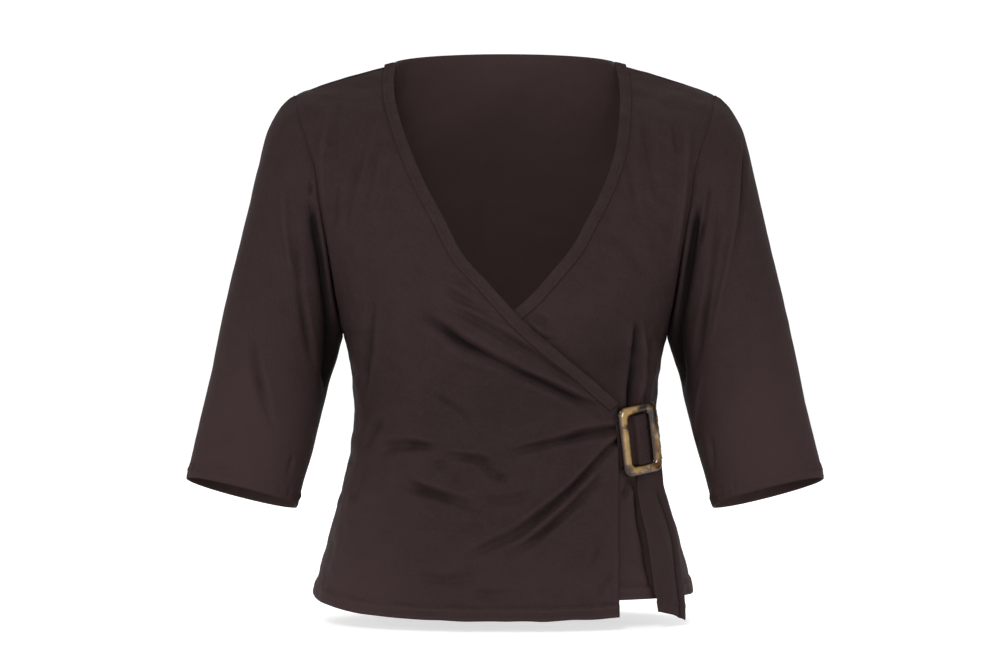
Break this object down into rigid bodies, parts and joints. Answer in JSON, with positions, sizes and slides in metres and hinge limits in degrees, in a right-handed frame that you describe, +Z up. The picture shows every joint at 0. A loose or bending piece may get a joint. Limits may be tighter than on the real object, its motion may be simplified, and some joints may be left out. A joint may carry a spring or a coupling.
{
  "type": "wrap top",
  "caption": "Jersey wrap top with a deep V neck and three-quarter sleeves; one front crosses the other and is held by a strap through a side buckle, with a hanging tail.",
  "frame": {"origin": "midway between the two points where the shoulder seams meet the neck, at their height", "axes": "+Z up along the wearer, -Y out of the front, +X towards the wearer's left"},
  "size_m": [0.5984, 0.2403, 0.5392],
  "materials": {
    "cloth": "soft matt viscose jersey with a faint sheen, dark brown",
    "buckle": "polished cellulose-acetate resin, honey and dark brown tortoiseshell"
  },
  "bodies": {
    "root": {"right_front": "cloth", "left_front": "cloth", "back": "cloth", "neck_band_right": "cloth", "neck_band_left": "cloth", "neck_band_back": "cloth", "right_sleeve": "cloth", "left_sleeve": "cloth", "strap": "cloth", "buckle_loop": "cloth", "strap_tail": "cloth", "buckle": "buckle"}
  },
  "joints": []
}
